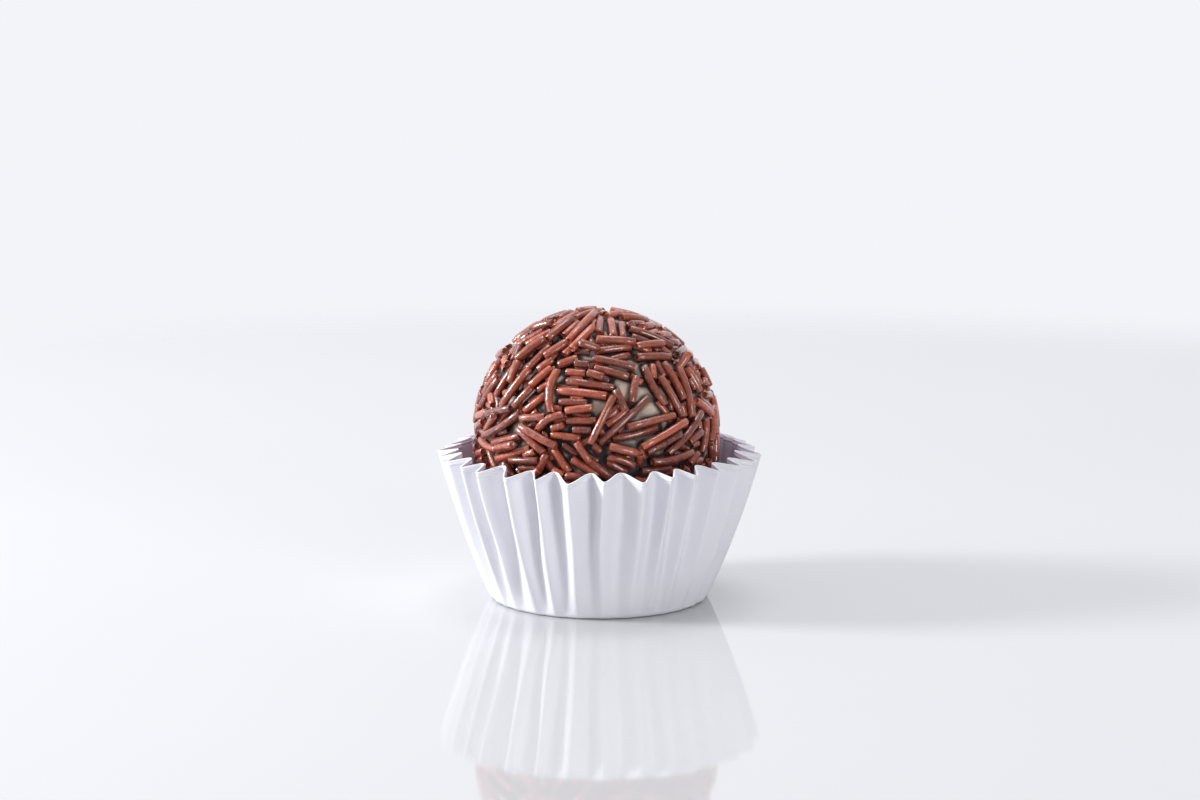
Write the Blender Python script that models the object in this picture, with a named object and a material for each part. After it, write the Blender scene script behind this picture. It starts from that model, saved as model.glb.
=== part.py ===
"""A brigadeiro: a ball of chocolate fudge under a coat of sprinkles, standing in
its pleated paper case.

Metres, +Z up. The origin is the middle of the case's foot, on the surface that
the case stands on. -Y is the front and +X runs to the right across it.

The case is worked out as the real one is made: a flat round blank is pushed into
a cup, so its wall has more paper round it than it needs, and the spare paper goes
into pleats that start from nothing at the foot and are deepest at the rim.
"""

import math
import random

import bmesh
import bpy
from mathutils import Vector, noise

MM = 0.001
GAP = 0.3 * MM  # between the ball and the paper that carries it

# The paper case
PAPER = 0.3 * MM  # wall thickness, of paper and of the air in its creases
FOOT_RADIUS = 12.5 * MM  # the flat disc that it stands on
FOOT_BEND = 0.7 * MM  # radius of the turn from the foot to the wall
WALL_LEAN = math.radians(15.8)  # of the wall's middle line, outwards from upright
WALL_HEIGHT = 17.95 * MM  # of that line at the rim
WALL_BELLY = 0.3 * MM  # how far it swells outwards at half its height
PLEATS = 30
PLEAT_FULLNESS = 0.92  # share of the spare paper that the folds take up
PLEAT_UNEVENNESS = 0.3  # of the folds' spacing, as a share of its mean
RIM_UNEVENNESS = 0.16 * MM  # of the rim's height from fold to fold
RIDGE_BLUNTING = 0.06  # an outer fold is nearly sharp
GROOVE_BLUNTING = 0.14  # an inner fold is rounder
RIDGE_SHOULDER = 0.16  # share of a face that an outer fold's bend takes up
GROOVE_SHOULDER = 0.26
BEND_ROWS = 3
WALL_ROWS = 5
CASE_SEED = 284286
CASE_TURN = math.radians(1.6)  # from the front to the first outer fold

# The ball of fudge, out to the outer level of its sprinkles
BALL_RADIUS = 15.0 * MM
BALL_TOP = 35.25 * MM
BALL_SHIFT = -0.25 * MM  # it sits a little left of the middle
BALL_SQUARENESS = 2.6  # exponent of its lower half: 2 is an ellipse
BALL_FLAT = 0.3 * MM  # how far its flat spot is pressed up
BALL_UNEVENNESS = 0.14 * MM
BALL_LUMP = 9.0 * MM  # size of one lump of that unevenness
BALL_SEGMENTS = 44
BALL_RINGS = 26


def material(name, colour, roughness):
    """A plain Principled material."""
    made = bpy.data.materials.new(name)
    made.use_nodes = True
    shader = made.node_tree.nodes["Principled BSDF"]
    shader.inputs["Base Color"].default_value = (*colour, 1.0)
    shader.inputs["Roughness"].default_value = roughness
    return made


def add_object(name, mesh, finish, place=(0.0, 0.0, 0.0)):
    """Puts a mesh in the scene as a smooth-shaded object of one material."""
    mesh.materials.append(finish)
    mesh.shade_smooth()
    made = bpy.data.objects.new(name, mesh)
    made.location = place
    bpy.context.scene.collection.objects.link(made)
    return made


def mix(first, second, share):
    return first + (second - first) * share


class Fold:
    """One crease of the wall: where it runs, which way it points and how far."""

    def __init__(self, index, angle, reach, lift):
        self.outer = index % 2 == 0
        self.angle = angle
        self.reach = reach if self.outer else -reach
        self.lift = lift

    def blunting(self):
        return RIDGE_BLUNTING if self.outer else GROOVE_BLUNTING

    def shoulder(self):
        return RIDGE_SHOULDER if self.outer else GROOVE_SHOULDER


def make_folds():
    """Outer and inner folds in turn, unevenly spaced round the case.

    A fold between two wide faces reaches further than one between narrow faces.
    """
    chance = random.Random(CASE_SEED)
    count = 2 * PLEATS
    widths = [1 + PLEAT_UNEVENNESS * chance.uniform(-1, 1) for _ in range(count)]
    whole = sum(widths)
    folds = []
    angle = CASE_TURN
    for index, width in enumerate(widths):
        reach = (widths[index - 1] + width) / 2
        lift = RIM_UNEVENNESS * chance.uniform(-1, 1)
        folds.append(Fold(index, angle, reach, lift))
        angle += 2 * math.pi * width / whole
    return folds


def across_the_folds(folds):
    """(angle, offset, lift) of each point round the wall, its offset from -1 to 1.

    Each fold gives three points: its blunted tip, and the start of its bend on
    the face at either side.
    """
    points = []
    for index, fold in enumerate(folds):
        before = folds[index - 1]
        after = folds[(index + 1) % len(folds)]
        start = before.angle - (2 * math.pi if index == 0 else 0)
        end = after.angle + (2 * math.pi if index == len(folds) - 1 else 0)
        share = fold.shoulder()
        points += [
            (
                mix(fold.angle, start, share),
                mix(fold.reach, before.reach, share),
                mix(fold.lift, before.lift, share),
            ),
            (fold.angle, fold.reach * (1 - fold.blunting()), fold.lift),
            (
                mix(fold.angle, end, share),
                mix(fold.reach, after.reach, share),
                mix(fold.lift, after.lift, share),
            ),
        ]
    return points


def wall_profile():
    """Rows of the wall's middle line, from the foot's edge up to the rim.

    Each is (radius, height, lean, distance along the paper from the centre of the
    blank), with the rows closest together at the foot, where the pleats start.
    """
    turn = math.pi / 2 - WALL_LEAN
    rows = []
    for step in range(BEND_ROWS):
        angle = turn * step / BEND_ROWS
        radius = FOOT_RADIUS + FOOT_BEND * math.sin(angle)
        height = FOOT_BEND * (1 - math.cos(angle))
        rows.append((radius, height, math.pi / 2 - angle, FOOT_RADIUS + FOOT_BEND * angle))
    foot = FOOT_RADIUS + FOOT_BEND * math.sin(turn)
    bottom = FOOT_BEND * (1 - math.cos(turn))
    slant = (WALL_HEIGHT - bottom) / math.cos(WALL_LEAN)
    for step in range(WALL_ROWS + 1):
        share = (step / WALL_ROWS) ** 1.5
        along = slant * share
        belly = WALL_BELLY * 4 * share * (1 - share)
        rows.append(
            (
                foot + along * math.sin(WALL_LEAN) + belly * math.cos(WALL_LEAN),
                bottom + along * math.cos(WALL_LEAN) - belly * math.sin(WALL_LEAN),
                WALL_LEAN,
                FOOT_RADIUS + FOOT_BEND * turn + along,
            )
        )
    return rows


def pleat_depth(radius, paper_radius):
    """How deep the pleats are where the blank's circle is drawn in to this radius."""
    fullness = max(paper_radius / radius, 1.0)
    face = math.pi * radius / PLEATS
    return PLEAT_FULLNESS * face * math.sqrt(fullness**2 - 1)


def make_case(finish):
    """The case as one sheet, its outer side modelled, thickened inwards."""
    across = across_the_folds(make_folds())
    rows = wall_profile()
    rim = rows[-1][3]
    shape = bmesh.new()
    rings = []
    for radius, height, lean, paper_radius in rows:
        half_depth = pleat_depth(radius, paper_radius) / 2
        ring = []
        for angle, offset, lift in across:
            out = half_depth * offset
            up = lift * (paper_radius / rim) ** 4
            reach = radius + out * math.cos(lean) + up * math.sin(lean)
            level = height - out * math.sin(lean) + up * math.cos(lean)
            ring.append(
                shape.verts.new((reach * math.sin(angle), -reach * math.cos(angle), max(level, 0.0)))
            )
        rings.append(ring)
    middle = shape.verts.new((0.0, 0.0, 0.0))
    around = len(across)
    for this in range(around):
        following = (this + 1) % around
        shape.faces.new((middle, rings[0][following], rings[0][this]))
        for lower, upper in zip(rings, rings[1:]):
            shape.faces.new((lower[this], lower[following], upper[following], upper[this]))
    mesh = bpy.data.meshes.new("paper_case")
    shape.to_mesh(mesh)
    shape.free()
    case = add_object("paper_case", mesh, finish)
    paper = case.modifiers.new("Paper", "SOLIDIFY")
    paper.thickness = PAPER
    paper.offset = -1.0
    paper.use_even_offset = True
    return case


def ball_point(direction):
    """A point of the ball's surface, from its middle, for a direction from there.

    The upper half is a sphere. The lower half is fuller and longer, down to the
    small flat spot that the ball rests on.
    """
    depth = BALL_TOP - BALL_RADIUS - PAPER - GAP
    level = max(-1.0, min(1.0, direction.z))
    ring = math.sqrt(1 - level**2)
    if level >= 0:
        radius = BALL_RADIUS * ring
        height = BALL_RADIUS * level
    else:
        power = 2 / BALL_SQUARENESS
        radius = BALL_RADIUS * ring**power
        height = -(depth + BALL_FLAT) * (-level) ** power
    turn = math.atan2(direction.y, direction.x)
    point = Vector((radius * math.cos(turn), radius * math.sin(turn), height))
    lump = noise.noise(point / BALL_LUMP) * BALL_UNEVENNESS
    point += direction * lump
    point.z = max(point.z, -depth)
    return point


def make_ball(finish):
    shape = bmesh.new()
    bmesh.ops.create_uvsphere(
        shape, u_segments=BALL_SEGMENTS, v_segments=BALL_RINGS, radius=1.0
    )
    for vertex in shape.verts:
        vertex.co = ball_point(vertex.co.normalized())
    mesh = bpy.data.meshes.new("brigadeiro_ball")
    shape.to_mesh(mesh)
    shape.free()
    return add_object(
        "brigadeiro_ball", mesh, finish, (BALL_SHIFT, 0.0, BALL_TOP - BALL_RADIUS)
    )


def main():
    for leftover in list(bpy.data.objects):
        bpy.data.objects.remove(leftover)
    whole = bpy.data.objects.new("brigadeiro", None)
    bpy.context.scene.collection.objects.link(whole)
    case = make_case(material("white paper", (0.82, 0.82, 0.87), 0.45))
    ball = make_ball(material("chocolate sprinkles", (0.17, 0.05, 0.027), 0.4))
    case.parent = whole
    ball.parent = whole


main()
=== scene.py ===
"""The looks of a brigadeiro in its paper case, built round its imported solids.

Metres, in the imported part's frame: +Z up, -Y the front, +X to the right, the origin
on the surface that the case stands on. The fudge ball and its coat of sprinkles
stand for the solid ball, and a thin pleated cup stands for the solid case.
"""

import logging
import math
import random
from dataclasses import dataclass, field
from enum import Enum

import bmesh
import bpy
import numpy as np
from mathutils import Matrix, Vector, kdtree, noise


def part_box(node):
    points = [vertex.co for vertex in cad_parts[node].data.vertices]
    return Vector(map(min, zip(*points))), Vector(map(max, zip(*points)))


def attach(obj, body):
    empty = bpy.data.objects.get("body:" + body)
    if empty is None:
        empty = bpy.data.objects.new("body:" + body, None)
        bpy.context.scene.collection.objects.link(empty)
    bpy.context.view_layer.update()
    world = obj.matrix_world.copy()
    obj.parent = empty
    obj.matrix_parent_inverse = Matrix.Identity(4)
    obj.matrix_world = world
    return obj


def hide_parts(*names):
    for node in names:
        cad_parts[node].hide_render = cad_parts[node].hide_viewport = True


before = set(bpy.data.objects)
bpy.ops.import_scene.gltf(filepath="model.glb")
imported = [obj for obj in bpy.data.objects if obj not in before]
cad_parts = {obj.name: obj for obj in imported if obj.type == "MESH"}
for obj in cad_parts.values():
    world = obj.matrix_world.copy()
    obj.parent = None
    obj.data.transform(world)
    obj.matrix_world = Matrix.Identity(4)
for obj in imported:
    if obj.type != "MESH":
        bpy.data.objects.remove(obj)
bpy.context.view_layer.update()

MM = 0.001
TINY = 1e-9  # keeps a division by a distance of nothing defined
LOG = logging.getLogger("brigadeiro")

BALL_NODE = "brigadeiro_ball"
CASE_NODE = "paper_case"

NOISE_SPAN = (0.3, 0.7)  # that a noise texture's values mostly keep to


class Slot(Enum):
    """The record's finishes."""

    CHOCOLATE = "chocolate_sprinkles"
    PAPER = "white_paper"


class Layer(Enum):
    """How deep a sprinkle starts out, as the lift of its axis over the first coat's."""

    DEEP = -0.50 * MM
    UNDER = -0.34 * MM
    COAT = 0.0
    OVER = 0.30 * MM


# ---------------------------------------------------------------- objects and meshes


def add_object(name: str, data: bpy.types.ID) -> bpy.types.Object:
    """Puts an object with this mesh, light or camera in the scene, and returns it."""
    added = bpy.data.objects.new(name, data)
    bpy.context.scene.collection.objects.link(added)
    return added


def finished_mesh(shape: bmesh.types.BMesh, name: str) -> bpy.types.Mesh:
    """Turns a mesh that is being worked on into a plain one, and lets the first go."""
    mesh = bpy.data.meshes.new(name)
    shape.to_mesh(mesh)
    shape.free()
    return mesh


def add_piece(name: str, mesh: bpy.types.Mesh, slot: Slot, *nodes: str) -> bpy.types.Object:
    """Makes a finished mesh a piece of the object.

    Args:
        name: the piece's name.
        mesh: its mesh, already in place.
        slot: the record's finish that it would take; not used.
        nodes: the solids that it stands for.

    Returns:
        The piece.
    """
    piece = add_object(name, mesh)
    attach(piece, "root")
    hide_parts(*nodes)
    LOG.info("%s: %d faces", name, len(mesh.polygons))
    return piece


def baked_mesh(source: bpy.types.Object, name: str) -> bpy.types.Mesh:
    """The plain mesh of an object with modifiers, which is then removed.

    Args:
        source: the object to evaluate.
        name: the new mesh's name.

    Returns:
        A mesh that needs no modifier.
    """
    graph = bpy.context.evaluated_depsgraph_get()
    graph.update()
    mesh = bpy.data.meshes.new_from_object(
        source.evaluated_get(graph), preserve_all_data_layers=True, depsgraph=graph
    )
    mesh.name = name
    bpy.data.objects.remove(source)
    return mesh


# ---------------------------------------------------------------- node helpers


class Graph:
    """A node tree that is being filled in."""

    def __init__(self, tree: bpy.types.NodeTree) -> None:
        """Takes the tree as it is.

        Args:
            tree: the shader or geometry node tree to add to.
        """
        self.tree = tree

    def add(self, kind: str, values: dict | None = None, **settings: object) -> bpy.types.Node:
        """Adds a node and fills its sockets.

        Args:
            kind: the node's type name.
            values: socket name or number to a plain value or to another socket.
            settings: the node's own properties.

        Returns:
            The new node.
        """
        node = self.tree.nodes.new(kind)
        for name, setting in settings.items():
            setattr(node, name, setting)
        for name, value in (values or {}).items():
            self.feed(node.inputs[name], value)
        return node

    def feed(self, socket: bpy.types.NodeSocket, value: object) -> None:
        """Links a socket to another, or sets its own value."""
        if isinstance(value, bpy.types.NodeSocket):
            self.tree.links.new(value, socket)
        else:
            socket.default_value = value

    def maths(self, operation: str, *values: object) -> bpy.types.NodeSocket:
        """A Math node's result."""
        node = self.add("ShaderNodeMath", dict(enumerate(values)), operation=operation)
        return node.outputs[0]

    def vector(self, operation: str, *values: object) -> bpy.types.NodeSocket:
        """A Vector Math node's vector."""
        node = self.add("ShaderNodeVectorMath", dict(enumerate(values)), operation=operation)
        return node.outputs["Vector"]

    def scaled(self, vector: object, factor: object) -> bpy.types.NodeSocket:
        """A vector times a number."""
        values = {"Vector": vector, "Scale": factor}
        return self.add("ShaderNodeVectorMath", values, operation="SCALE").outputs["Vector"]

    def length(self, vector: object) -> bpy.types.NodeSocket:
        """A vector's length."""
        return self.add("ShaderNodeVectorMath", {0: vector}, operation="LENGTH").outputs["Value"]

    def ramp(self, value: object, driving: tuple, given: tuple) -> bpy.types.NodeSocket:
        """A smooth step.

        Args:
            value: what drives it.
            driving: the driving values at which it starts and ends.
            given: what it gives below and above them.

        Returns:
            The stepped value.
        """
        values = {"Value": value, "From Min": driving[0], "From Max": driving[1]}
        values |= {"To Min": given[0], "To Max": given[1]}
        return self.add("ShaderNodeMapRange", values, interpolation_type="SMOOTHSTEP").outputs["Result"]

    def curve(self, value: object, points: list[tuple[float, float]]) -> bpy.types.NodeSocket:
        """A number read off straight runs between points.

        Args:
            value: where to read, from 0 to 1.
            points: the corners of the line, left to right, its ends included.

        Returns:
            The height there.
        """
        node = self.add("ShaderNodeFloatCurve", {"Value": value})
        line = node.mapping.curves[0]
        line.points[0].location = points[0]
        line.points[1].location = points[-1]
        for place in points[1:-1]:
            line.points.new(*place)
        for point in line.points:
            point.handle_type = "VECTOR"
        node.mapping.update()
        return node.outputs[0]


def new_group(name: str, kind: str, inputs: dict, outputs: dict) -> tuple[Graph, dict, bpy.types.Node]:
    """Starts a node group.

    Args:
        name: the group's name.
        kind: the tree's type name.
        inputs: socket name to (socket type, default or None).
        outputs: socket name to socket type.

    Returns:
        The graph, its inputs by name, and the node that takes its results.
    """
    tree = bpy.data.node_groups.new(name, kind)
    for label, (socket_type, default) in inputs.items():
        socket = tree.interface.new_socket(label, in_out="INPUT", socket_type=socket_type)
        if default is not None:
            socket.default_value = default
    for label, socket_type in outputs.items():
        tree.interface.new_socket(label, in_out="OUTPUT", socket_type=socket_type)
    graph = Graph(tree)
    entry = graph.add("NodeGroupInput")
    return graph, {label: entry.outputs[label] for label in inputs}, graph.add("NodeGroupOutput")


def build_grain_group() -> bpy.types.NodeTree:
    """The fine uneven skin that the object's finishes have.

    Returns:
        A group from a place and a grain size to a height from 0 to 1.
    """
    inputs = {
        "Vector": ("NodeSocketVector", None),
        "Size": ("NodeSocketFloat", 0.2 * MM),
        "Detail": ("NodeSocketFloat", 3.0),
    }
    graph, given, result = new_group("grain", "ShaderNodeTree", inputs, {"Height": "NodeSocketFloat"})
    values = {
        "Vector": given["Vector"],
        "Scale": graph.maths("DIVIDE", 1.0, given["Size"]),
        "Detail": given["Detail"],
        "Roughness": 0.55,
    }
    speckle = graph.add("ShaderNodeTexNoise", values)
    graph.feed(result.inputs["Height"], speckle.outputs["Fac"])
    return graph.tree


def build_mottle_group() -> bpy.types.NodeTree:
    """Soft patches, for a tone or a roughness that drifts over a surface.

    Returns:
        A group from a place, a patch size and two limits to a value between them.
    """
    inputs = {
        "Vector": ("NodeSocketVector", None),
        "Size": ("NodeSocketFloat", 2.0 * MM),
        "Low": ("NodeSocketFloat", 0.0),
        "High": ("NodeSocketFloat", 1.0),
    }
    graph, given, result = new_group("mottle", "ShaderNodeTree", inputs, {"Value": "NodeSocketFloat"})
    patches = graph.add(
        "ShaderNodeTexNoise",
        {"Vector": given["Vector"], "Scale": graph.maths("DIVIDE", 1.0, given["Size"]), "Detail": 2.0},
    )
    spread = {
        "Value": patches.outputs["Fac"],
        "From Min": NOISE_SPAN[0],
        "From Max": NOISE_SPAN[1],
        "To Min": given["Low"],
        "To Max": given["High"],
    }
    graph.feed(result.inputs["Value"], graph.add("ShaderNodeMapRange", spread).outputs["Result"])
    return graph.tree


class Finish:
    """What the finishes share: a material with a Principled shader in it."""

    groups: dict[str, bpy.types.NodeTree] = {}

    def start(self, name: str) -> tuple[bpy.types.Material, Graph, bpy.types.Node]:
        """Makes an empty material.

        Args:
            name: the material's name.

        Returns:
            The material, its graph, and its Principled shader.
        """
        if not Finish.groups:
            Finish.groups.update(grain=build_grain_group(), mottle=build_mottle_group())
        material = bpy.data.materials.new(name)
        material.use_nodes = True
        return material, Graph(material.node_tree), material.node_tree.nodes["Principled BSDF"]

    def grouped(self, graph: Graph, group: str, values: dict) -> bpy.types.NodeSocket:
        """Places a shared group with its own values, and returns its result."""
        node = graph.add("ShaderNodeGroup", node_tree=Finish.groups[group])
        for name, value in values.items():
            graph.feed(node.inputs[name], value)
        return node.outputs[0]

    def mottle(self, graph: Graph, size: float, low: float = 0.0, high: float = 1.0) -> bpy.types.NodeSocket:
        """Soft patches of a size, with values between two limits."""
        place = graph.add("ShaderNodeTexCoord").outputs["Object"]
        return self.grouped(graph, "mottle", {"Vector": place, "Size": size, "Low": low, "High": high})

    def grain(self, graph: Graph, size: float, detail: float = 3.0) -> bpy.types.NodeSocket:
        """The heights of an uneven skin with grains of a size."""
        place = graph.add("ShaderNodeTexCoord").outputs["Object"]
        return self.grouped(graph, "grain", {"Vector": place, "Size": size, "Detail": detail})

    def bump(self, graph: Graph, height: object, depth: float, strength: float,
             under: bpy.types.NodeSocket | None = None) -> bpy.types.NodeSocket:
        """Heights as a normal for the shader.

        Args:
            graph: the material's graph.
            height: the heights, in units of the depth.
            depth: how far a height of 1 stands out.
            strength: how much of the bump shows, from 0 to 1.
            under: the normal that it goes on top of, if any.

        Returns:
            The bumped normal.
        """
        values = {"Height": height, "Distance": depth, "Strength": strength}
        if under is not None:
            values["Normal"] = under
        return graph.add("ShaderNodeBump", values).outputs["Normal"]

    def blend(self, graph: Graph, share: object, first: object, second: object) -> bpy.types.NodeSocket:
        """A colour between two.

        Args:
            graph: the material's graph.
            share: how much of the second, from 0 to 1.
            first: a colour or a colour socket.
            second: a colour or a colour socket.

        Returns:
            The mixed colour.
        """
        node = graph.add("ShaderNodeMix", data_type="RGBA")
        graph.feed(node.inputs["Factor"], share)
        graph.feed(node.inputs[6], opaque(first))
        graph.feed(node.inputs[7], opaque(second))
        return node.outputs[2]


def opaque(colour: object) -> object:
    """A plain colour with its alpha, or a socket as it is."""
    return (*colour, 1.0) if isinstance(colour, tuple) else colour


@dataclass(frozen=True)
class SprinkleFinish(Finish):
    """Satin milk chocolate, each sprinkle a little lighter or darker than the next."""

    dark: tuple = (0.128, 0.021, 0.009)
    light: tuple = (0.440, 0.085, 0.035)
    patch_size: float = 0.9 * MM
    drift: float = 0.2  # of the tone along a sprinkle, up and down
    gloss_size: float = 0.5 * MM
    roughness: tuple = (0.22, 0.38)
    ior: float = 1.55
    glaze: float = 0.9
    glaze_roughness: float = 0.13
    grain_size: float = 0.17 * MM
    grain_depth: float = 0.060 * MM
    ripple_size: float = 0.6 * MM
    ripple_share: float = 2.5  # of the ripples, in grains

    def build(self) -> bpy.types.Material:
        """Returns the sprinkles' material."""
        material, graph, shader = self.start("sprinkle_chocolate")
        tone = graph.add("ShaderNodeAttribute", attribute_name="tone").outputs["Fac"]
        drift = self.mottle(graph, self.patch_size, -self.drift, self.drift)
        share = graph.maths("ADD", tone, drift)
        graph.feed(shader.inputs["Base Color"], self.blend(graph, share, self.dark, self.light))
        graph.feed(shader.inputs["Roughness"], self.mottle(graph, self.gloss_size, *self.roughness))
        shader.inputs["IOR"].default_value = self.ior
        shader.inputs["Coat Weight"].default_value = self.glaze
        shader.inputs["Coat Roughness"].default_value = self.glaze_roughness
        ripple = self.grain(graph, self.ripple_size, detail=1.0)
        height = graph.maths("MULTIPLY_ADD", ripple, self.ripple_share, self.grain(graph, self.grain_size))
        graph.feed(shader.inputs["Normal"], self.bump(graph, height, self.grain_depth, strength=0.9))
        return material


@dataclass(frozen=True)
class FudgeFinish(Finish):
    """Soft, slightly moist milk chocolate fudge, with painted shade that darkens it right beside a sprinkle.
    """

    deep: tuple = (0.470, 0.365, 0.300)
    pale: tuple = (0.680, 0.550, 0.440)
    # painted shade: near black next to a sprinkle, fading out to the fudge's own colour, in place of the
    # shade that falls in the gaps between sprinkles
    painted_gap_shade: tuple = (0.014, 0.008, 0.009)
    fully_shaded_to: float = 0.54 * MM
    unshaded_from: float = 1.10 * MM
    patch_size: float = 2.2 * MM
    gloss_size: float = 1.1 * MM
    roughness: tuple = (0.34, 0.50)
    specular: float = 0.3
    grain_size: float = 0.45 * MM
    grain_depth: float = 0.05 * MM

    def build(self) -> bpy.types.Material:
        """Returns the fudge's material."""
        material, graph, shader = self.start("fudge")
        unshaded = self.blend(graph, self.mottle(graph, self.patch_size), self.deep, self.pale)
        # painted shade: the fudge is darkened by its distance from the nearest sprinkle's axis
        away = graph.add("ShaderNodeAttribute", attribute_name="from_sprinkle").outputs["Fac"]
        share = graph.ramp(away, (self.fully_shaded_to, self.unshaded_from), (0.0, 1.0))
        graph.feed(shader.inputs["Base Color"], self.blend(graph, share, self.painted_gap_shade, unshaded))
        graph.feed(shader.inputs["Roughness"], self.mottle(graph, self.gloss_size, *self.roughness))
        shader.inputs["Specular IOR Level"].default_value = self.specular
        grain = self.grain(graph, self.grain_size, detail=2.0)
        graph.feed(shader.inputs["Normal"], self.bump(graph, grain, self.grain_depth, strength=0.7))
        return material


@dataclass(frozen=True)
class PaperFinish(Finish):
    """Smooth coated paper, with faint pressed lines that follow the rim."""

    name: str
    colour: tuple
    shade: tuple
    roughness: float = 0.42
    patch_size: float = 5.0 * MM
    fibre_size: float = 0.35 * MM
    fibre_depth: float = 0.01 * MM
    line_pitch: float = 0.40 * MM
    line_depth: float = 0.025 * MM
    lined_band: float = 0.80 * MM

    def build(self) -> bpy.types.Material:
        """Returns the paper's material."""
        material, graph, shader = self.start(self.name)
        patches = self.mottle(graph, self.patch_size)
        graph.feed(shader.inputs["Base Color"], self.blend(graph, patches, self.shade, self.colour))
        shader.inputs["Roughness"].default_value = self.roughness
        below = graph.add("ShaderNodeAttribute", attribute_name="below_rim").outputs["Fac"]
        lines = graph.maths("SINE", graph.maths("MULTIPLY", below, math.tau / self.line_pitch))
        pressed = graph.maths("MULTIPLY", lines, graph.maths("LESS_THAN", below, self.lined_band))
        fibres = self.grain(graph, self.fibre_size, detail=4.0)
        fine = self.bump(graph, fibres, self.fibre_depth, strength=0.5)
        ruled = self.bump(graph, pressed, self.line_depth, strength=1.0, under=fine)
        graph.feed(shader.inputs["Normal"], ruled)
        return material


@dataclass(frozen=True)
class FloorFinish(Finish):
    """A plain pale polished surface that melts into the background at its edge."""

    colour: tuple = (0.54, 0.541, 0.555)
    darkest: float = 0.985  # of the colour, in its patches
    patch_size: float = 60 * MM
    roughness: float = 0.05
    fade_from: float = 0.20
    fade_to: float = 0.26

    def build(self) -> bpy.types.Material:
        """Returns the floor's material."""
        material, graph, shader = self.start("pale_floor")
        darker = tuple(value * self.darkest for value in self.colour)
        patches = self.mottle(graph, self.patch_size)
        graph.feed(shader.inputs["Base Color"], self.blend(graph, patches, darker, self.colour))
        shader.inputs["Roughness"].default_value = self.roughness
        away = graph.length(graph.add("ShaderNodeTexCoord").outputs["Object"])
        solid = graph.ramp(away, (self.fade_from, self.fade_to), (1.0, 0.0))
        graph.feed(shader.inputs["Alpha"], solid)
        return material


# ---------------------------------------------------------------- the ball


@dataclass(frozen=True)
class BallForm:
    """The ball's shape: a sphere above its widest level, fuller and longer below it."""

    middle: Vector
    radius: float
    depth: float
    squareness: float = 2.6
    lowest_share: float = 0.97  # of its depth, that a point picked by chance may reach

    def inset(self, distance: float) -> "BallForm":
        """The same shape, smaller by a distance all round."""
        return BallForm(self.middle, self.radius - distance, self.depth - distance, self.squareness)

    def on_surface(self, place: Vector) -> Vector:
        """The surface point in a place's direction from the middle."""
        way = place - self.middle
        if way.z >= 0:
            return self.middle + way.normalized() * self.radius
        power = self.squareness
        ring = math.hypot(way.x, way.y) / self.radius
        drop = -way.z / self.depth
        return self.middle + way / (ring**power + drop**power) ** (1 / power)

    def outward(self, place: Vector) -> Vector:
        """The surface's direction outwards at a point on it."""
        way = place - self.middle
        if way.z >= 0:
            return way.normalized()
        power = self.squareness - 1
        ring = max(math.hypot(way.x, way.y), TINY)
        steep = (ring / self.radius) ** power / self.radius
        down = (-way.z / self.depth) ** power / self.depth
        return Vector((way.x / ring * steep, way.y / ring * steep, -down)).normalized()

    def chance_point(self, chance: random.Random) -> Vector:
        """A point picked evenly over the surface."""
        turn = chance.uniform(-math.pi, math.pi)
        height = chance.uniform(-self.depth * self.lowest_share, self.radius)
        if height >= 0:
            ring = math.sqrt(self.radius**2 - height**2)
        else:
            drop = -height / self.depth
            ring = self.radius * (1 - drop**self.squareness) ** (1 / self.squareness)
        return self.middle + Vector((ring * math.sin(turn), -ring * math.cos(turn), height))


def ball_form() -> BallForm:
    """The ball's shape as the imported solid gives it, out to the sprinkles."""
    low, high = (Vector(corner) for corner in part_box(BALL_NODE))
    radius = (high.x - low.x) / 2
    middle = Vector(((low.x + high.x) / 2, (low.y + high.y) / 2, high.z - radius))
    return BallForm(middle, radius, middle.z - low.z)


@dataclass
class FudgeBall:
    """The fudge under the sprinkles, pressed uneven by rolling."""

    form: BallForm
    cover: float = 0.90 * MM  # from the sprinkles' outer level down to the fudge
    lump_size: float = 6.5 * MM
    lump_depth: float = 0.12 * MM
    dent_size: float = 1.5 * MM
    dent_depth: float = 0.08 * MM
    finish: FudgeFinish = field(default_factory=FudgeFinish)

    def surface(self, place: Vector) -> Vector:
        """The fudge's surface point in a place's direction."""
        core = self.form.inset(self.cover)
        point = core.on_surface(place)
        rise = noise.noise(point / self.lump_size) * self.lump_depth
        rise += noise.noise(point / self.dent_size) * self.dent_depth
        point += core.outward(point) * rise
        point.z = max(point.z, self.form.middle.z - self.form.depth)
        return point

    def build(self, coat: "SprinkleCoat") -> bpy.types.Object:
        """Makes the fudge ball.

        Args:
            coat: the sprinkles, beside which the fudge is darkened with painted shade.

        Returns:
            The piece.
        """
        shape = bmesh.new()
        bmesh.ops.create_icosphere(shape, subdivisions=6, radius=1.0)
        for vertex in shape.verts:
            vertex.co = self.surface(self.form.middle + vertex.co)
        bmesh.ops.recalc_face_normals(shape, faces=shape.faces)
        mesh = finished_mesh(shape, "fudge_ball")
        # each fudge point's distance to the nearest sprinkle axis, which drives the painted shade in the
        # fudge's finish
        points = coat.axes.reshape(-1, 3)
        tree = kdtree.KDTree(len(points))
        for index, point in enumerate(points):
            tree.insert(point, index)
        tree.balance()
        near = [tree.find(vertex.co)[2] for vertex in mesh.vertices]
        mesh.attributes.new("from_sprinkle", "FLOAT", "POINT").data.foreach_set("value", near)
        mesh.materials.append(self.finish.build())
        mesh.shade_smooth()
        return add_piece("fudge_ball", mesh, Slot.CHOCOLATE, BALL_NODE)


# ---------------------------------------------------------------- the sprinkles


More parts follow.
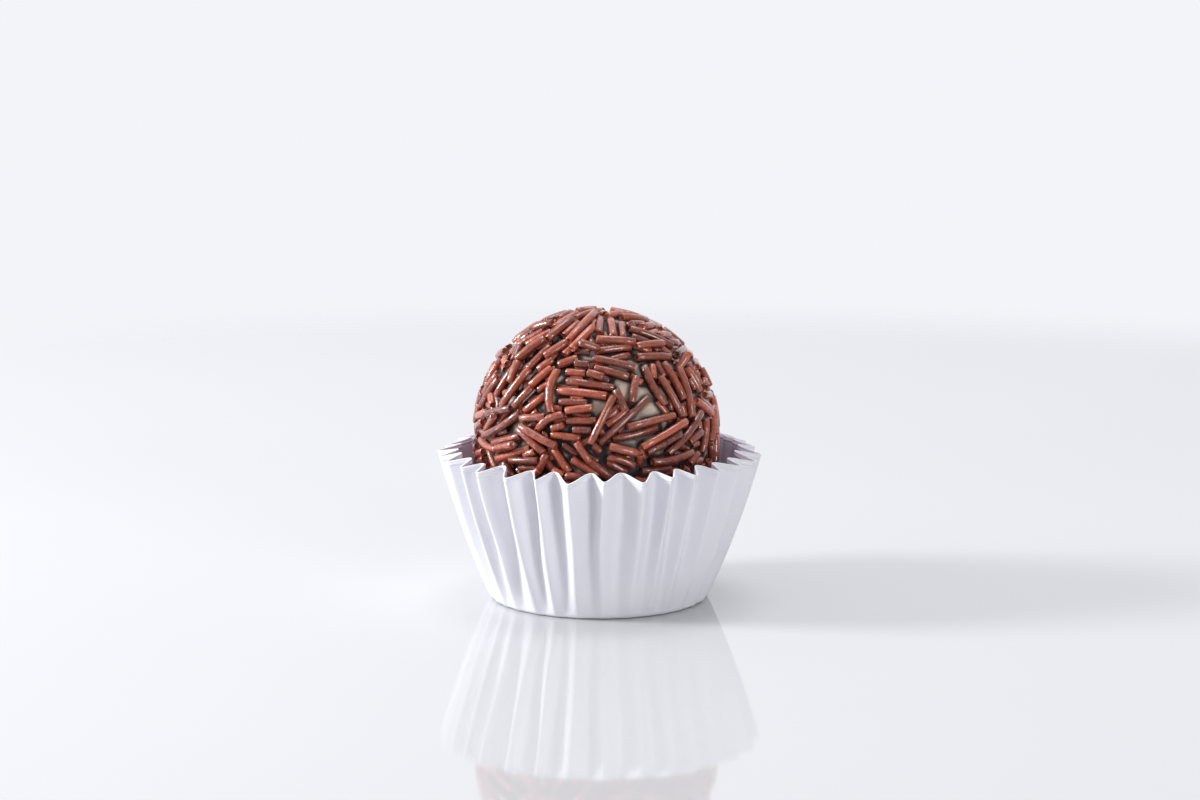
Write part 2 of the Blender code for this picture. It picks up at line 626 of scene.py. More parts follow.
@dataclass
class Sprinkle:
    """One sprinkle: the middle of its axis, the way it points, and its own shape."""

    middle: Vector
    along: Vector
    out: Vector
    length: float
    thick: float
    bow: float = 0.0
    hug: float = 0.0
    tone: float = 0.5

    def axis(self) -> np.ndarray:
        """Points along its axis, close enough together to tell what it would touch."""
        side = self.out.cross(self.along)
        steps = np.linspace(-0.5, 0.5, SprinkleCoat.AXIS_POINTS) * self.length
        bowed = self.bow * (1 - (2 * steps / self.length) ** 2)
        sunk = -0.5 * self.hug * steps**2
        return (
            np.array(self.middle)
            + np.outer(steps, self.along)
            + np.outer(bowed, side)
            + np.outer(sunk, self.out)
        )


@dataclass(frozen=True)
class Laid:
    """A sprinkle listed for the front, as seen from a little above.

    across and up are its middle's place from the ball's middle, heading is in
    degrees from level, up to the right, bow is how far its middle stands to the
    left of its ends, and rise is the angle in degrees at which its far end stands
    out of the coat. All lengths are in millimetres.
    """

    across: float
    up: float
    heading: float
    length: float
    bow: float = 0.0
    layer: Layer = Layer.COAT
    rise: float = 0.0


UNDER, COAT, OVER = Layer.UNDER, Layer.COAT, Layer.OVER

LAID_BY_HAND = (
    # level ones, stacked across the middle
    Laid(2.7, 8.85, 14, 2.8, 0, UNDER),
    Laid(2.1, 7.9, -13, 5.2),
    Laid(1.85, 6.95, -15, 4.3),
    Laid(2.1, 9.75, 7, 4.2),
    Laid(2.3, 10.4, -4, 4.7),
    Laid(-0.75, 5.5, -8, 5.8),
    Laid(-1.75, 4.45, -6, 6.0),
    Laid(-2.8, 3.3, -2, 3.4),
    Laid(-2.05, 2.4, 7, 3.3),
    Laid(-1.8, 1.1, 0, 3.6),
    Laid(-1.7, -0.05, -2, 2.3),
    Laid(-3.7, -0.8, -8, 3.5),
    Laid(-2.45, 6.85, -4, 2.35),
    Laid(-0.1, 6.4, -17, 2.0),
    Laid(-3.4, 8.2, 19, 2.5),
    Laid(-1.7, 7.8, -5, 1.8, 0, UNDER),
    Laid(6.25, 9.95, 6, 3.3),
    Laid(6.95, 8.85, 0, 4.0),
    # fanned round the top
    Laid(-1.0, 9.4, 180, 2.2, 0, OVER, 28),
    Laid(-3.3, 9.6, 47, 1.6),
    Laid(-1.6, 10.7, 45, 3.7),
    Laid(-1.75, 12.6, 43, 4.5, -0.2),
    Laid(-3.0, 12.1, 43, 2.3),
    Laid(-4.2, 11.8, 38, 3.9),
    Laid(-4.7, 9.4, 33, 3.2),
    Laid(-3.6, 13.2, 30, 3.2),
    Laid(-3.8, 13.7, 27, 1.7),
    Laid(-1.8, 13.7, 225, 1.8, 0, COAT, 25),
    Laid(-6.3, 12.3, 16, 2.4, 0, OVER),
    Laid(-5.0, 13.4, 27, 2.2),
    Laid(-6.8, 13.0, 25, 3.4),
    Laid(-1.0, 14.6, 2, 2.0),
    Laid(1.2, 14.0, -28, 2.3),
    Laid(0.45, 12.5, 86, 2.1),
    Laid(1.9, 12.2, -80, 2.2),
    Laid(3.1, 11.9, -81, 1.9),
    Laid(3.5, 14.1, -5, 1.8),
    Laid(4.6, 13.45, 4, 3.3),
    Laid(5.0, 13.0, -3, 1.4, 0, UNDER),
    Laid(6.3, 12.9, 35, 1.6),
    Laid(6.8, 11.9, 15, 1.6, 0, UNDER),
    Laid(4.3, 12.2, 150, 1.3, 0, UNDER, 40),
    Laid(5.15, 10.85, -20, 2.0),
    Laid(6.6, 11.1, -23, 5.5),
    Laid(9.5, 11.3, -22, 2.2, 0, UNDER),
    Laid(9.1, 10.9, -18, 3.8),
    Laid(8.9, 12.1, -24, 3.4),
    # down the right
    Laid(10.1, 9.45, 37, 2.3),
    Laid(11.3, 9.1, 53, 2.2),
    Laid(12.1, 8.0, 54, 2.2),
    Laid(10.1, 7.9, 90, 1.2, 0, UNDER, 50),
    Laid(6.95, 7.1, -85, 1.7, 0, UNDER),
    Laid(7.1, 5.4, -61, 5.4, -0.45),
    Laid(9.0, 4.0, -61, 5.5),
    Laid(9.4, 5.95, -61, 5.1),
    Laid(10.8, 4.6, -74, 6.2),
    Laid(11.65, 6.05, -59, 3.2),
    Laid(13.1, 6.3, -76, 2.5),
    Laid(13.3, 4.25, 5, 1.6),
    Laid(13.0, 2.7, -42, 2.5),
    Laid(14.0, 4.6, -80, 3.4),
    Laid(4.45, 4.75, 80, 3.2, 0, OVER),
    Laid(2.8, 3.45, -67, 2.7),
    # long ones that lie over the rest, low on the right
    Laid(4.8, -0.4, 14, 5.6, -0.15, UNDER),
    Laid(3.45, 1.2, 43, 8.2),
    Laid(0.65, 1.1, 64, 6.4, 0, OVER),
    Laid(8.2, -1.6, 30, 4.7),
    Laid(7.9, -0.5, 31, 6.2, 0, OVER),
    Laid(6.6, 1.05, 14, 5.8, 0, OVER),
    Laid(10.8, -0.35, 53, 6.3, -0.3),
    Laid(11.9, -0.85, 42, 2.0),
    Laid(13.0, -0.75, 83, 3.9, -0.2),
    Laid(13.7, -0.05, 84, 2.6, -0.3),
    Laid(14.2, 1.2, 87, 3.4),
    Laid(13.7, -3.0, 85, 2.4),
    Laid(14.25, -1.9, 86, 2.6),
    Laid(12.5, -3.5, -70, 1.5, 0, UNDER),
    Laid(11.6, -3.4, 50, 1.7),
    Laid(8.9, -3.2, 14, 4.9, -0.25, OVER),
    Laid(7.1, -4.75, 6, 3.5),
    Laid(5.2, -3.5, 100, 1.3, 0, UNDER, 35),
    Laid(2.5, -4.5, -28, 2.6, 0, UNDER),
    Laid(3.1, -2.3, -14, 3.45, 0, OVER),
    Laid(2.95, -3.8, -18, 3.3, 0.25, OVER),
    # leaning up to the right, down the left
    Laid(-6.4, 5.3, 30, 1.9, 0, UNDER),
    Laid(-6.1, 7.8, 36, 2.2),
    Laid(-6.6, 6.3, 40, 3.4),
    Laid(-7.05, 8.55, 46, 4.2),
    Laid(-7.7, 9.45, 37, 4.3),
    Laid(-6.9, 11.0, 29, 3.4),
    Laid(-8.1, 10.85, 31, 4.0),
    Laid(-8.4, 11.6, 33, 2.5),
    Laid(-9.45, 9.1, 68, 1.9),
    Laid(-9.6, 6.75, 70, 2.7),
    Laid(-11.0, 5.85, 58, 4.1),
    Laid(-11.6, 6.4, 72, 4.0),
    Laid(-12.7, 5.5, 57, 2.9),
    Laid(-12.5, 7.3, 60, 2.0),
    Laid(-11.2, 9.05, -8, 2.1, 0, OVER),
    Laid(-10.5, 4.6, 5, 1.6, 0, UNDER),
    Laid(-7.4, 3.2, 38, 3.2),
    Laid(-8.6, 3.8, 47, 3.2),
    Laid(-4.9, 4.5, 82, 5.2, 0.6, OVER),
    Laid(-9.5, 4.9, 54, 5.6, 0, OVER),
    Laid(-12.6, 3.0, 17, 4.2, 0.4),
    Laid(-11.4, 2.15, 14, 3.0),
    Laid(-13.7, 1.9, 15, 2.3),
    Laid(-14.0, 3.6, 55, 2.0),
    # crossing each other, low on the left and in the middle
    Laid(-12.3, 0.8, 44, 2.3, 0, COAT, 15),
    Laid(-11.2, 0.6, 34, 5.0, -0.3),
    Laid(-10.8, -1.15, 13, 3.3),
    Laid(-12.8, -1.75, -31, 2.6, -0.3),
    Laid(-10.3, -1.9, 12, 2.6, 0, OVER, 12),
    Laid(-7.4, 1.4, 3, 3.0),
    Laid(-4.6, 0.35, 14, 1.6, 0, UNDER),
    Laid(-5.35, 0.95, 29, 3.5, 0.4),
    Laid(-10.0, -2.9, 19, 4.1),
    Laid(-7.9, -2.8, 17, 1.4, 0, UNDER),
    Laid(-7.65, -1.25, -43, 4.3, 0, OVER),
    Laid(-6.75, -0.75, -30, 5.0, 0, OVER),
    Laid(-8.25, -3.55, -1, 3.4, 0, OVER),
    Laid(-7.7, -4.5, 0, 2.6),
    Laid(-7.1, -5.1, 40, 1.5),
    Laid(-10.1, -4.6, -55, 2.0),
    Laid(-12.5, -3.7, 40, 1.6),
    Laid(-13.5, -3.7, 45, 1.4),
    Laid(-13.8, -2.7, 15, 1.7),
    Laid(-14.2, -2.1, 25, 1.6),
    Laid(-6.2, -3.7, 68, 2.0),
    Laid(-3.2, -2.4, -35, 2.1, 0, UNDER),
    Laid(-4.2, -3.7, -55, 3.3),
    Laid(-4.4, -5.0, -25, 1.4),
    Laid(-2.6, -5.4, 0, 1.9),
    Laid(-1.3, -4.5, -31, 3.8),
    Laid(0.7, -4.8, -37, 3.8),
    Laid(-1.5, -2.6, -55, 2.9, 0, OVER),
    Laid(0.1, -2.3, -45, 1.2, 0, UNDER),
)


@dataclass(frozen=True)
class Bare:
    """A spot on the front that the sprinkles leave bare, placed as a laid one is."""

    across: float
    up: float
    reach: float


BARE_SPOTS = (
    Bare(4.6, 8.1, 0.75),
    Bare(3.1, 5.3, 0.8),
    Bare(0.2, 3.0, 0.75),
    Bare(5.8, 3.4, 1.0),
    Bare(6.2, 2.5, 0.9),
    Bare(4.4, -1.5, 0.6),
    Bare(-4.6, -0.1, 0.4),
    Bare(-9.2, 0.8, 0.5),
    Bare(-6.6, -2.9, 0.3),
    Bare(10.1, 2.4, 0.4),
    Bare(11.7, 4.2, 0.35),
)


@dataclass(frozen=True)
class LooseRound:
    """One round of sprinkles that are tried anywhere, any way round."""

    tries: int
    shortest: float
    longest: float
    layer: Layer
    closeness: float  # the least distance to another's axis, in thicknesses


SHORTEST = 1.3 * MM
SETTLED = 0.84  # closeness of a sprinkle that settles between others
BURIED = 0.66  # the same, of one that shows only at the bottom of a gap

LOOSE_ROUNDS = (
    LooseRound(8000, 2.0 * MM, 4.6 * MM, COAT, 0.97),
    LooseRound(8000, SHORTEST, 2.4 * MM, COAT, 0.92),
    LooseRound(26000, SHORTEST, 4.0 * MM, UNDER, SETTLED),
    LooseRound(26000, SHORTEST, 3.4 * MM, Layer.DEEP, BURIED),
)


@dataclass
class SprinkleCoat:
    """The sprinkles, pressed into the fudge all over.

    Those on the front are laid from a list. The rest are tried one by one and kept where
    they fit: first beside one that already lies there, so that they lie in small
    sheaves, and then anywhere, in rounds that fill the gaps ever deeper. Last come a
    few that lie over the others or stand out.
    """

    AXIS_POINTS = 13
    RING_SHARE = 0.667  # of a unit rod's half length, at the last ring before its end
    RING_GAIN = 1.5  # takes that share to 1
    SIDE_FROM = 0.4  # distance from a unit rod's axis, over which a point is on its side
    END_FROM = 0.49  # distance from its middle, over which a point is at an end

    form: BallForm
    finish: SprinkleFinish = field(default_factory=SprinkleFinish)
    depth: float = 0.60 * MM  # of the first coat's axes, from the ball's outer level
    thickness: float = 0.96 * MM
    thickness_spread: float = 0.07
    tone_middle: float = 0.5
    tone_spread: float = 0.28
    hug_range: tuple = (0.55, 0.95)  # of the ball's own bend, that a sprinkle takes on
    longest_by_hand: float = 8.0 * MM
    most_stretch: float = 1.7  # of a listed sprinkle, where the ball turns away
    front_rise: float = 0.5 * MM  # how far a listed one may be raised
    outline_rise: float = 0.2 * MM  # the same, near the outline
    eye_pitch: float = math.radians(10.35)
    eye_distance: float = 400.3 * MM
    outline_share: float = 0.998  # of the ball's radius, at which its outline is cut off
    outline_width: float = 0.5  # of the outline's band, as the cosine of the angle to the eye
    front_edge: float = -0.3  # the same cosine, where the listed ones end
    sheaf_tries: int = 17000
    sheaf_lengths: tuple = (2.2 * MM, 5.8 * MM, 3.4 * MM)  # shortest, longest and most usual
    sheaf_shift: float = 0.55  # of its neighbour's length, either way along it
    sheaf_gap: tuple = (1.03, 1.20)  # between two axes, in thicknesses
    sheaf_turn: float = 10.0  # degrees out of line
    sheaf_closeness: float = 1.0
    sheaf_bow: float = 0.13  # millimetres
    loose_bow: float = 0.12
    loose_tilt: float = 3.0  # degrees
    over_count: int = 60
    over_lengths: tuple = (2.0 * MM, 4.6 * MM)
    over_tops: tuple = (34 * MM, 24 * MM)  # how high each second one may lie, in turn
    over_tilt: float = 5.0  # degrees
    over_rise: float = 0.3 * MM
    standing_count: int = 14
    standing_lengths: tuple = (1.4 * MM, 2.4 * MM)
    standing_tilts: tuple = (12, 30)  # degrees
    stands_from: float = math.radians(8)  # tilt above which a sprinkle stands out
    standing_lift: float = 0.35  # of its length, times the sine of the tilt
    settling_steps: int = 6
    cut_allowed: float = 0.12  # closeness that may be missing after settling
    sides: int = 8
    segments: int = 6
    shoulder: float = 0.07 * MM
    shoulder_width: float = 0.84  # of the thickness, at the ends
    dimple: float = 0.26 * MM
    seed: int = 21
    sprinkles: list[Sprinkle] = field(default_factory=list)
    axes: np.ndarray = field(default_factory=lambda: np.empty((0, SprinkleCoat.AXIS_POINTS, 3)))

    def __post_init__(self) -> None:
        """Sets out the level that the axes lie on, and the bare spots."""
        self.chance = random.Random(self.seed)
        self.level = self.form.inset(self.depth)
        self.bare = np.array([self.seen_place(spot.across, spot.up) for spot in BARE_SPOTS])
        self.bare_reach = np.array([spot.reach * MM + self.thickness / 2 for spot in BARE_SPOTS])

    def seen_place(self, across: float, up: float) -> Vector:
        """The place on the axes' level that shows at a spot of the front view.

        Args:
            across: millimetres to the right of the ball's middle.
            up: millimetres above it, in the view.

        Returns:
            The place, on the half of the ball that shows.
        """
        far = self.eye_distance
        reach = self.level.radius
        offset = math.hypot(across, up) * MM
        share = min(1.0, self.outline_share * reach / max(offset, MM))
        x, y = across * MM * share, up * MM * share
        spread = x * x + y * y + far * far
        run = (far * far - math.sqrt(max(far**4 - spread * (far * far - reach * reach), 0.0))) / spread
        right, rise, near = x * run, y * run, far * (1 - run)
        cos, sin = math.cos(self.eye_pitch), math.sin(self.eye_pitch)
        way = Vector((right, rise * sin - near * cos, rise * cos + near * sin))
        return self.level.on_surface(self.level.middle + way)

    def make(self, place: Vector, along: Vector, length: float, bow: float = 0.0, lift: float = 0.0,
             tilt: float = 0.0) -> Sprinkle:
        """Lays a sprinkle on the ball.

        Args:
            place: about where its middle goes.
            along: about which way it points.
            length: its length.
            bow: how far its middle stands aside of its ends.
            lift: how far it lies above the first coat.
            tilt: the angle at which its far end rises, in radians.

        Returns:
            The sprinkle, resting on the surface there.
        """
        spot = self.level.on_surface(place)
        out = self.level.outward(spot)
        flat = (along - out * along.dot(out)).normalized()
        stands = max(0.0, abs(tilt) - self.stands_from)
        return Sprinkle(
            middle=spot + out * (lift + self.standing_lift * length * math.sin(stands)),
            along=math.cos(tilt) * flat + math.sin(tilt) * out,
            out=math.cos(tilt) * out - math.sin(tilt) * flat,
            length=length,
            thick=self.thickness * (1 + self.thickness_spread * self.chance.uniform(-1, 1)),
            bow=bow,
            hug=0.0 if stands else self.chance.uniform(*self.hug_range) / self.level.radius,
            tone=min(1.0, max(0.0, self.chance.gauss(self.tone_middle, self.tone_spread))),
        )

    def clear(self, new: Sprinkle, closeness: float) -> bool:
        """Whether a sprinkle's axis stays far enough from the others'.

        Args:
            new: the one to test.
            closeness: the least distance between two axes, in thicknesses.

        Returns:
            True where it can stay.
        """
        if not len(self.axes):
            return True
        line = new.axis()
        reach = (new.length + self.longest_by_hand) / 2 + self.thickness
        middles = self.axes[:, SprinkleCoat.AXIS_POINTS // 2]
        away = middles - line[len(line) // 2]
        near = self.axes[np.einsum("ij,ij->i", away, away) < reach * reach]
        gaps = near.reshape(-1, 1, 3) - line.reshape(1, -1, 3)
        return bool((np.einsum("ijk,ijk->ij", gaps, gaps) > (closeness * self.thickness) ** 2).all())

    def fits(self, new: Sprinkle, closeness: float) -> bool:
        """Whether a sprinkle stays clear of the others and of the bare spots."""
        gaps = new.axis().reshape(-1, 1, 3) - self.bare
        if (np.einsum("ijk,ijk->ij", gaps, gaps) < self.bare_reach**2).any():
            return False
        return self.clear(new, closeness)

    def keep(self, new: Sprinkle) -> None:
        """Adds a sprinkle to the coat."""
        self.sprinkles.append(new)
        self.axes = np.concatenate([self.axes, new.axis()[None]])

    def settle(self, new: Sprinkle, highest: float, optional: bool = False) -> None:
        """Raises a sprinkle until it lies on those below it, and keeps it.

        Args:
            new: the sprinkle.
            highest: how far it may be raised.
            optional: whether it is left out if it would still cut into another there,
                as one near the outline always is.
        """
        for _ in range(self.settling_steps):
            if self.clear(new, SETTLED):
                break
            new.middle = new.middle + new.out * (highest / self.settling_steps)
        may_drop = optional or self.near_outline(new)
        if may_drop and not self.clear(new, SETTLED - self.cut_allowed):
            return
        self.keep(new)

    def facing(self, place: Vector) -> float:
        """The cosine of the angle at which a place faces the eye: 1 is straight at it."""
        way = (place - self.form.middle).normalized()
        return way.dot(Vector((0, -math.cos(self.eye_pitch), math.sin(self.eye_pitch))))

    def near_outline(self, new: Sprinkle) -> bool:
        """Whether a sprinkle lies where the ball's outline shows from the front."""
        return abs(self.facing(new.middle)) < self.outline_width

    def lay_by_hand(self) -> None:
        """Lays the front's own sprinkles."""
        for row in LAID_BY_HAND:
            angle = math.radians(row.heading)
            half = row.length / 2
            step = (half * math.cos(angle), half * math.sin(angle))
            end = self.seen_place(row.across + step[0], row.up + step[1])
            start = self.seen_place(row.across - step[0], row.up - step[1])
            middle = self.seen_place(row.across, row.up)
            longest = min(self.most_stretch * row.length * MM, self.longest_by_hand)
            tilt = math.radians(row.rise)
            length = min((end - start).length, longest) / math.cos(tilt)
            new = self.make(middle, end - start, length, row.bow * MM, row.layer.value, tilt)
            self.settle(new, self.outline_rise if self.near_outline(new) else self.front_rise)

    def any_heading(self, place: Vector) -> Vector:
        """A direction picked evenly along the surface at a place."""
        out = self.level.outward(place)
        turn = self.chance.uniform(0, math.tau)
        right = out.orthogonal().normalized()
        return math.cos(turn) * right + math.sin(turn) * out.cross(right)

    def lay_sheaves(self) -> None:
        """Lays sprinkles beside others, nearly in line with them."""
        for _ in range(self.sheaf_tries):
            other = self.chance.choice(self.sprinkles)
            side = other.out.cross(other.along) * self.chance.choice((-1, 1))
            shift = self.chance.uniform(-self.sheaf_shift, self.sheaf_shift) * other.length
            away = self.thickness * self.chance.uniform(*self.sheaf_gap)
            length = self.chance.triangular(*self.sheaf_lengths)
            turn = math.radians(self.chance.gauss(0, self.sheaf_turn))
            along = math.cos(turn) * other.along + math.sin(turn) * side
            bow = self.chance.gauss(0, self.sheaf_bow) * MM
            new = self.make(other.middle + side * away + other.along * shift, along, length, bow)
            if self.fits(new, self.sheaf_closeness):
                self.keep(new)

    def lay_loose(self, trial: LooseRound) -> None:
        """Tries one round of sprinkles anywhere, and keeps those that fit."""
        for _ in range(trial.tries):
            place = self.level.chance_point(self.chance)
            length = self.chance.uniform(trial.shortest, trial.longest)
            bow = self.chance.gauss(0, self.loose_bow) * MM
            tilt = math.radians(self.chance.gauss(0, self.loose_tilt))
            new = self.make(place, self.any_heading(place), length, bow, trial.layer.value, tilt)
            if self.fits(new, trial.closeness):
                self.keep(new)

    def lay_over(self, rim: float) -> None:
        """Lays the last few over the others, most of them low down near the paper.

        Args:
            rim: the height of the paper's rim.
        """
        for index in range(self.over_count):
            turn = self.chance.uniform(-math.pi, math.pi)
            height = self.chance.uniform(rim, self.over_tops[index % 2])
            ring = Vector((math.sin(turn), -math.cos(turn), 0)) * self.form.radius
            place = self.level.on_surface(Vector((self.form.middle.x, self.form.middle.y, height)) + ring)
            heading = self.any_heading(place)
            length = self.chance.uniform(*self.over_lengths)
            tilt = math.radians(self.chance.gauss(0, self.over_tilt))
            if index < self.standing_count:
                tilt = math.radians(self.chance.uniform(*self.standing_tilts))
                length = self.chance.uniform(*self.standing_lengths)
            if self.facing(place) <= self.front_edge:
                over = self.make(place, heading, length, 0.0, OVER.value, tilt)
                self.settle(over, self.over_rise, optional=True)

    def lay(self, rim: float) -> None:
        """Lays all the sprinkles.

        Args:
            rim: the height of the paper's rim.
        """
        self.lay_by_hand()
        self.lay_sheaves()
        for trial in LOOSE_ROUNDS:
            self.lay_loose(trial)
        self.lay_over(rim)
        LOG.info("%d sprinkles", len(self.sprinkles))

    def places(self) -> bpy.types.Object:
        """A cloud of points, one for each sprinkle, that carries its attributes."""
        mesh = bpy.data.meshes.new("sprinkle_places")
        mesh.from_pydata([tuple(each.middle) for each in self.sprinkles], [], [])
        for name in ("along", "out"):
            layer = mesh.attributes.new(name, "FLOAT_VECTOR", "POINT")
            values = [number for each in self.sprinkles for number in getattr(each, name)]
            layer.data.foreach_set("vector", values)
        for name in ("length", "thick", "bow", "hug", "tone"):
            layer = mesh.attributes.new(name, "FLOAT", "POINT")
            layer.data.foreach_set("value", [getattr(each, name) for each in self.sprinkles])
        return add_object("sprinkle_places", mesh)

    def split(self, graph: Graph, place: bpy.types.NodeSocket) -> tuple:
        """A place in a unit rod, as its x, its y, its distance from the axis, and its z."""
        parts = graph.add("ShaderNodeSeparateXYZ", {0: place}).outputs
        flat = graph.add("ShaderNodeCombineXYZ", {"X": parts["X"], "Y": parts["Y"]}).outputs[0]
        return parts["X"], parts["Y"], graph.length(flat), parts["Z"]

    def build_tree(self, material: bpy.types.Material) -> bpy.types.NodeTree:
        """The geometry nodes that turn each place into a sprinkle.

        A unit rod goes to every place, and is then stretched to that sprinkle's
        length, given a shoulder, a crisp lip and a dimple at both ends, bowed, and
        bent towards the ball.

        Args:
            material: the sprinkles' finish.

        Returns:
            The tree.
        """
        inputs = {
            "Places": ("NodeSocketGeometry", None),
            "Sides": ("NodeSocketInt", self.sides),
            "Shoulder": ("NodeSocketFloat", self.shoulder),
            "Dimple": ("NodeSocketFloat", self.dimple),
            "Finish": ("NodeSocketMaterial", material),
        }
        outputs = {"Geometry": "NodeSocketGeometry"}
        graph, given, result = new_group("lay_sprinkles", "GeometryNodeTree", inputs, outputs)
        rod = graph.add(
            "GeometryNodeMeshCylinder",
            {"Vertices": given["Sides"], "Side Segments": self.segments, "Radius": 0.5, "Depth": 1.0},
            fill_type="TRIANGLE_FAN",
        )
        position = graph.add("GeometryNodeInputPosition").outputs[0]
        template = graph.add(
            "GeometryNodeStoreNamedAttribute",
            {"Geometry": rod.outputs["Mesh"], "Name": "unit", "Value": position},
            data_type="FLOAT_VECTOR",
            domain="POINT",
        ).outputs["Geometry"]
        from_axis, height = self.split(graph, position)[2:]
        at_side = graph.maths("GREATER_THAN", from_axis, self.SIDE_FROM)
        at_end = graph.maths("GREATER_THAN", graph.maths("ABSOLUTE", height), self.END_FROM)
        template = graph.add(
            "GeometryNodeStoreNamedAttribute",
            {"Geometry": template, "Name": "sharp_edge", "Value": graph.maths("MULTIPLY", at_side, at_end)},
            data_type="BOOLEAN",
            domain="EDGE",
        ).outputs["Geometry"]
        placed = graph.add(
            "GeometryNodeInstanceOnPoints", {"Points": given["Places"], "Instance": template}
        )
        real = graph.add("GeometryNodeRealizeInstances", {"Geometry": placed.outputs["Instances"]})

        def named(name: str, kind: str = "FLOAT") -> bpy.types.NodeSocket:
            """An attribute that each sprinkle carries."""
            node = graph.add("GeometryNodeInputNamedAttribute", {"Name": name}, data_type=kind)
            return node.outputs["Attribute"]

        unit = named("unit", "FLOAT_VECTOR")
        along = named("along", "FLOAT_VECTOR")
        out = named("out", "FLOAT_VECTOR")
        side = graph.vector("CROSS_PRODUCT", out, along)
        unit_x, unit_y, outer, unit_z = self.split(graph, unit)
        hollow = graph.maths("SUBTRACT", 1.0, graph.maths("MULTIPLY", outer, 2.0))
        from_middle = graph.maths("ABSOLUTE", graph.maths("MULTIPLY", unit_z, 2.0))
        ring = self.RING_SHARE
        width = graph.curve(from_middle, [(0, 1), (ring, 1), (1, self.shoulder_width)])
        near_lip = graph.curve(from_middle, [(0, 0), (ring, 0), (1, 1)])
        body_share = graph.maths("MINIMUM", graph.maths("MULTIPLY", from_middle, self.RING_GAIN), 1.0)
        half = graph.maths("SUBTRACT", graph.maths("MULTIPLY", named("length"), 0.5), given["Shoulder"])
        lip = graph.maths("MULTIPLY", near_lip, given["Shoulder"])
        outer_reach = graph.maths("MULTIPLY_ADD", body_share, half, lip)
        reach = graph.maths("SUBTRACT", outer_reach, graph.maths("MULTIPLY", hollow, given["Dimple"]))
        axial = graph.maths("MULTIPLY", reach, graph.maths("SIGN", unit_z))
        across_scale = graph.maths("MULTIPLY", width, named("thick"))
        share = graph.maths("DIVIDE", graph.maths("MULTIPLY", axial, 2.0), named("length"))
        arch = graph.maths("SUBTRACT", 1.0, graph.maths("MULTIPLY", share, share))
        flat_x = graph.maths("MULTIPLY", unit_x, across_scale)
        bowed = graph.maths("MULTIPLY_ADD", named("bow"), arch, flat_x)
        squared = graph.maths("MULTIPLY", graph.maths("MULTIPLY", axial, axial), -0.5)
        flat_y = graph.maths("MULTIPLY", unit_y, across_scale)
        sunk = graph.maths("MULTIPLY_ADD", named("hug"), squared, flat_y)
        place = graph.vector("SUBTRACT", position, unit)
        for way, distance in ((along, axial), (side, bowed), (out, sunk)):
            place = graph.vector("ADD", place, graph.scaled(way, distance))
        shaped = graph.add(
            "GeometryNodeSetPosition", {"Geometry": real.outputs["Geometry"], "Position": place}
        ).outputs["Geometry"]
        for name in ("unit", "along", "out", "length", "thick", "bow", "hug"):
            shaped = graph.add(
                "GeometryNodeRemoveAttribute", {"Geometry": shaped, "Name": name}
            ).outputs["Geometry"]
        smooth = graph.add("GeometryNodeSetShadeSmooth", {"Geometry": shaped}).outputs["Geometry"]
        dressed = graph.add("GeometryNodeSetMaterial", {"Geometry": smooth, "Material": given["Finish"]})
        graph.feed(result.inputs["Geometry"], dressed.outputs["Geometry"])
        return graph.tree

    def build(self) -> bpy.types.Object:
        """Makes all the sprinkles one piece.

        Returns:
            The piece.
        """
        material = self.finish.build()
        holder = self.places()
        modifier = holder.modifiers.new("Sprinkles", "NODES")
        modifier.node_group = self.build_tree(material)
        values = {
            "Sides": self.sides,
            "Shoulder": self.shoulder,
            "Dimple": self.dimple,
            "Finish": material,
        }
        for socket in modifier.node_group.interface.items_tree:
            if socket.in_out == "INPUT" and socket.name in values:
                modifier[socket.identifier] = values[socket.name]
        return add_piece("sprinkles", baked_mesh(holder, "sprinkles"), Slot.CHOCOLATE, BALL_NODE)


# ---------------------------------------------------------------- the paper case


@dataclass(frozen=True)
class Fold:
    """One crease of the wall."""

    outer: bool
    angle: float
    reach: float
    lift: float
    sway: float
    phase: float


